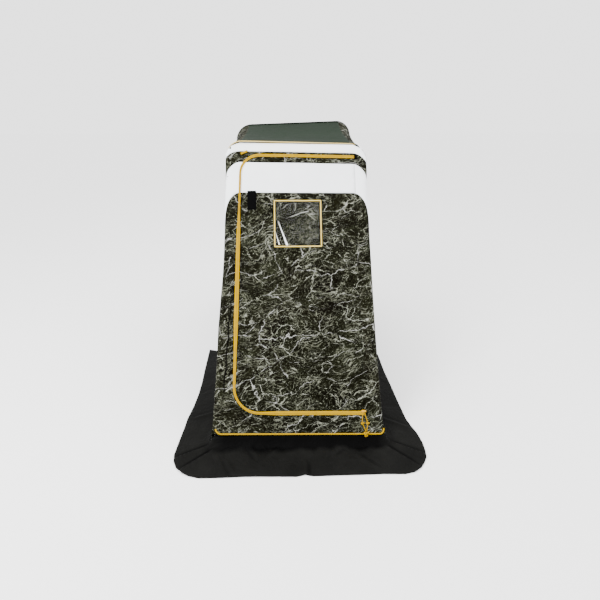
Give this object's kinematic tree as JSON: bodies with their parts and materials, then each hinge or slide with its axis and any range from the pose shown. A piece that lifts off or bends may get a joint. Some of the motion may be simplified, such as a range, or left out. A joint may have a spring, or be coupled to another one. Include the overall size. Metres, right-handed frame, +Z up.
{
  "type": "ice fishing shelter",
  "caption": "One-person flip-over ice fishing shelter with folding bows on a sled, a zipped door, a window, a ground skirt and a swivel seat.",
  "frame": {"origin": "middle of the footprint at floor level", "axes": "+X to the right of a person who faces the door, +Y from the door towards the sled, +Z up"},
  "size_m": [1.404, 2.4314, 1.6799],
  "materials": {
    "camo_fabric": "coated woven polyester with a printed marsh-grass pattern",
    "roof_fabric": "coated woven polyester, plain",
    "skirt_fabric": "coated woven polyester, slightly shiny",
    "zipper_tape": "woven tape with moulded teeth",
    "binding_tape": "woven binding tape",
    "clear_vinyl": "clear and glossy",
    "zipper_slider": "satin",
    "pull_cord": "braided",
    "pole_steel": "satin powder coat",
    "hardware_steel": "zinc plated",
    "sled_plastic": "roto-moulded polyethylene, fine texture",
    "runner_plastic": "smooth polyethylene, scuffed",
    "black_plastic": "moulded nylon, fine texture",
    "seat_fabric": "padded woven cover"
  },
  "bodies": {
    "sled": {"sled_tub": "sled_plastic", "sled_runners": "runner_plastic", "tow_grommets": "hardware_steel", "pivot_brackets": "hardware_steel", "bracket_bolts": "hardware_steel", "pivot_axle_left": "hardware_steel", "pivot_axle_right": "hardware_steel", "axle_caps": "black_plastic", "hub_spacers": "black_plastic", "seat_rails": "hardware_steel", "rail_supports": "black_plastic", "rear_batten": "hardware_steel", "batten_screws": "hardware_steel", "rear_canopy": "roof_fabric"},
    "rear_bow": {"rear_bow_legs": "pole_steel", "rear_bow_top": "pole_steel", "back_canopy": "roof_fabric"},
    "middle_bow": {"middle_bow_legs": "pole_steel", "middle_bow_top": "pole_steel", "roof_canopy": "roof_fabric"},
    "front_bow": {"front_bow_legs": "pole_steel", "front_bow_top": "pole_steel", "front_wall": "camo_fabric", "side_wall_left": "camo_fabric", "side_wall_right": "camo_fabric", "door_zipper": "zipper_tape", "roof_piping": "zipper_tape", "foot_piping": "zipper_tape"},
    "ground_bow": {"ground_bow_legs": "pole_steel", "ground_bow_bar": "pole_steel", "side_hems": "camo_fabric", "skirt": "skirt_fabric"},
    "door": {"door_panel": "camo_fabric", "window_pane": "clear_vinyl", "window_binding": "binding_tape", "door_tab": "skirt_fabric"},
    "window_cover": {"window_cover": "camo_fabric"},
    "zipper_slider": {"zipper_slider": "zipper_slider", "pull_cord_left": "pull_cord", "pull_cord_right": "pull_cord", "pull_knots": "pull_cord", "pull_knot_end": "pull_cord"},
    "seat_carriage": {"seat_carriage": "hardware_steel"},
    "seat_swivel": {"seat_swivel": "hardware_steel", "seat_pan": "black_plastic", "seat_cushion": "seat_fabric", "seat_brackets": "hardware_steel", "seat_hinge_pins": "hardware_steel"},
    "seat_back": {"seat_back_shell": "black_plastic", "seat_back_cushion": "seat_fabric"}
  },
  "joints": [
    {"name": "rear_bow_fold", "type": "hinge", "parent": "sled", "child": "rear_bow", "pos_m": [0, 0.04425, 0.225], "axis": [-1, 0, 0], "range_deg": [0, 40.7], "deforming": ["rear_canopy"]},
    {"name": "middle_bow_fold", "type": "hinge", "parent": "rear_bow", "child": "middle_bow", "pos_m": [0, 0.04425, 0.225], "axis": [-1, 0, 0], "range_deg": [-0.5, 28.79], "deforming": ["back_canopy"]},
    {"name": "front_bow_fold", "type": "hinge", "parent": "middle_bow", "child": "front_bow", "pos_m": [0, 0.04425, 0.225], "axis": [-1, 0, 0], "range_deg": [-0.5, 15.88], "deforming": ["roof_canopy"]},
    {"name": "ground_bow_fold", "type": "hinge", "parent": "front_bow", "child": "ground_bow", "pos_m": [0, 0.04425, 0.225], "axis": [-1, 0, 0], "range_deg": [-1, 91.57], "deforming": ["front_wall", "side_wall_left", "side_wall_right", "door_zipper", "roof_piping", "foot_piping", "door_panel", "window_pane", "window_binding", "door_tab", "window_cover", "zipper_slider", "pull_cord_left", "pull_cord_right", "pull_knots", "pull_knot_end", "skirt"]},
    {"name": "door_swing", "type": "hinge", "parent": "front_bow", "child": "door", "pos_m": [0.363, -0.53089, 0.84252], "axis": [0.013, -0.4905, -0.8713], "range_deg": [-100, 0]},
    {"name": "window_cover_roll", "type": "hinge", "parent": "door", "child": "window_cover", "pos_m": [0.002, -0.27737, 1.2776], "axis": [-1, 0, 0], "range_deg": [-110, 0]},
    {"name": "zipper_slide", "type": "slide", "parent": "front_bow", "child": "zipper_slider", "axis": [1, 0, 0], "range_m": [-0.6, 0]},
    {"name": "seat_slide", "type": "slide", "parent": "sled", "child": "seat_carriage", "axis": [0, 1, 0], "range_m": [-0.15, 0.15]},
    {"name": "seat_turn", "type": "hinge", "parent": "seat_carriage", "child": "seat_swivel", "pos_m": [0, 0.57425, 0.13], "axis": [0, 0, 1], "continuous": true},
    {"name": "seat_back_fold", "type": "hinge", "parent": "seat_swivel", "child": "seat_back", "pos_m": [0, 0.73425, 0.222], "axis": [1, 0, 0], "range_deg": [-100, 0]}
  ],
  "couplings": [
    {"joint": "middle_bow_fold", "follows": "rear_bow_fold", "ratio": 0.69524},
    {"joint": "front_bow_fold", "follows": "rear_bow_fold", "ratio": 0.37782},
    {"joint": "ground_bow_fold", "follows": "rear_bow_fold", "ratio": 2.2254}
  ]
}
